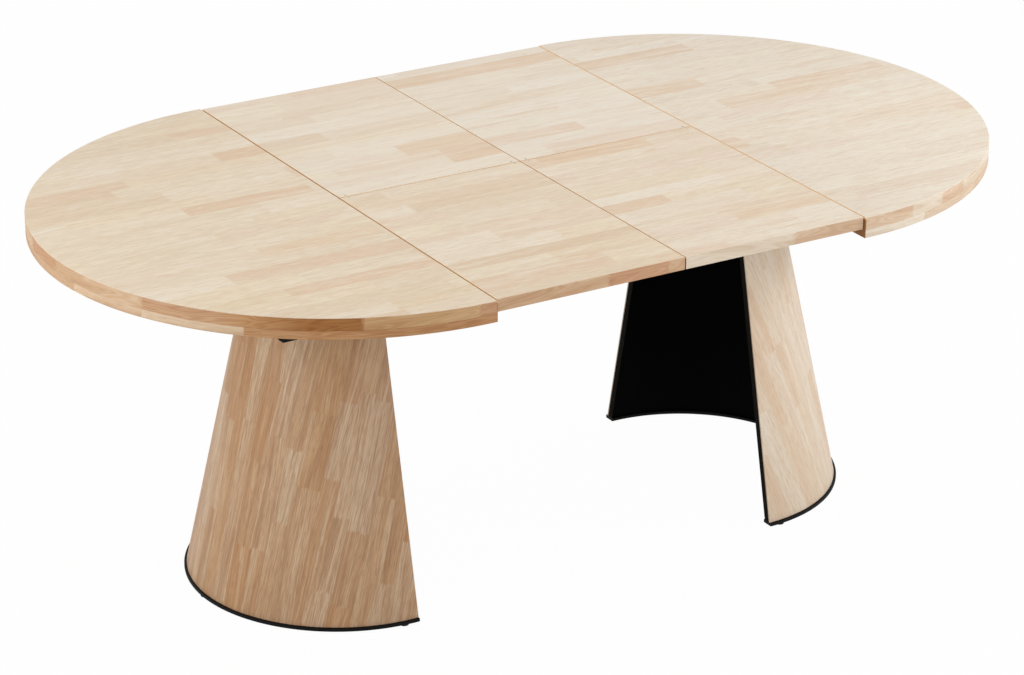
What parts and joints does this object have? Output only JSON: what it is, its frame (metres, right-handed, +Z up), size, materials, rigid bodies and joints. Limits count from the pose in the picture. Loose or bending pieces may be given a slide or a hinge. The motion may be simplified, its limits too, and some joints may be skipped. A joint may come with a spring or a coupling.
{
  "type": "extending table",
  "caption": "Dining table standing open: half-round tops on half-cone legs, hinged leaf panels between them, telescopic slides and a swivel leaf support below.",
  "frame": {"origin": "on the floor, under the middle of the open table", "axes": "+X along the table towards the right half, +Y to the rear, +Z up"},
  "size_m": [2.0118, 1.2, 0.775],
  "materials": {
    "top_wood": "clear matt lacquer on finger-jointed staves",
    "rim_wood": "clear matt lacquer on glued segments",
    "leaf_wood": "clear matt lacquer on finger-jointed staves",
    "leg_wood": "clear matt lacquer on a bent sheet",
    "black_shell": "matt black paint",
    "plywood": "matt black paint",
    "beech": "plain sanded wood",
    "black_steel": "matt black powder coat",
    "zinc_steel": "bright zinc plate",
    "hinge_steel": "lacquered in the tone of the wood",
    "glide_plastic": "black moulded glide",
    "nylon": "natural moulded washer",
    "felt": "grey felt"
  },
  "bodies": {
    "centre_frame": {"front_centre_rail": "zinc_steel", "rear_centre_rail": "zinc_steel", "centre_beam": "black_steel", "king_post": "zinc_steel", "thrust_washer": "nylon", "post_collar": "zinc_steel", "leaf_bearer": "beech", "rear_left_leaf": "leaf_wood", "rear_right_leaf": "leaf_wood", "rear_hinge_pins": "zinc_steel"},
    "swivel_support": {"swivel_arm": "black_steel", "arm_risers": "beech", "arm_pads": "felt"},
    "left_slide_members": {"left_front_member": "zinc_steel", "left_rear_member": "zinc_steel"},
    "left_half": {"left_top_board": "top_wood", "left_rim_band": "rim_wood", "left_leg_shell": "black_shell", "left_leg_skin": "leg_wood", "left_base_ring": "black_steel", "left_glides": "glide_plastic", "left_leg_plate": "plywood", "left_front_channel": "black_steel", "left_rear_channel": "black_steel", "left_end_bar": "black_steel", "left_inner_cross_bar": "black_steel", "left_outer_cross_bar": "black_steel", "left_posts": "black_steel", "left_leg_bolts": "zinc_steel", "left_leaf_tongues": "zinc_steel", "left_screws": "zinc_steel"},
    "left_fold_links": {"left_hinge_links": "hinge_steel"},
    "left_fold_leaf": {"front_left_leaf": "leaf_wood", "front_left_hinge_pins": "zinc_steel"},
    "right_slide_members": {"right_front_member": "zinc_steel", "right_rear_member": "zinc_steel"},
    "right_half": {"right_top_board": "top_wood", "right_rim_band": "rim_wood", "right_leg_shell": "black_shell", "right_leg_skin": "leg_wood", "right_base_ring": "black_steel", "right_glides": "glide_plastic", "right_leg_plate": "plywood", "right_front_channel": "black_steel", "right_rear_channel": "black_steel", "right_end_bar": "black_steel", "right_inner_cross_bar": "black_steel", "right_outer_cross_bar": "black_steel", "right_posts": "black_steel", "right_leg_bolts": "zinc_steel", "right_leaf_tongues": "zinc_steel", "right_screws": "zinc_steel"},
    "right_fold_links": {"right_hinge_links": "hinge_steel"},
    "right_fold_leaf": {"front_right_leaf": "leaf_wood", "front_right_hinge_pins": "zinc_steel"}
  },
  "joints": [
    {"name": "swivel_support_turn", "type": "hinge", "parent": "centre_frame", "child": "swivel_support", "pos_m": [0, 0, 0.67], "axis": [0, 0, 1], "range_deg": [0, 90]},
    {"name": "left_member_slide", "type": "slide", "parent": "centre_frame", "child": "left_slide_members", "axis": [-1, 0, 0], "range_m": [0, 0.015]},
    {"name": "left_half_slide", "type": "slide", "parent": "left_slide_members", "child": "left_half", "axis": [-1, 0, 0], "range_m": [0, 0.015]},
    {"name": "left_link_fold", "type": "hinge", "parent": "centre_frame", "child": "left_fold_links", "pos_m": [-0.2025, 0.006, 0.7718], "axis": [-1, 0, 0], "range_deg": [0, 90]},
    {"name": "left_leaf_fold", "type": "hinge", "parent": "left_fold_links", "child": "left_fold_leaf", "pos_m": [-0.2025, -0.006, 0.7718], "axis": [-1, 0, 0], "range_deg": [0, 90]},
    {"name": "right_member_slide", "type": "slide", "parent": "centre_frame", "child": "right_slide_members", "axis": [1, 0, 0], "range_m": [0, 0.015]},
    {"name": "right_half_slide", "type": "slide", "parent": "right_slide_members", "child": "right_half", "axis": [1, 0, 0], "range_m": [0, 0.015]},
    {"name": "right_link_fold", "type": "hinge", "parent": "centre_frame", "child": "right_fold_links", "pos_m": [0.2025, 0.006, 0.7718], "axis": [-1, 0, 0], "range_deg": [0, 90]},
    {"name": "right_leaf_fold", "type": "hinge", "parent": "right_fold_links", "child": "right_fold_leaf", "pos_m": [0.2025, -0.006, 0.7718], "axis": [-1, 0, 0], "range_deg": [0, 90]}
  ],
  "couplings": [
    {"joint": "left_member_slide", "follows": "left_half_slide", "ratio": 1},
    {"joint": "right_member_slide", "follows": "right_half_slide", "ratio": 1}
  ]
}
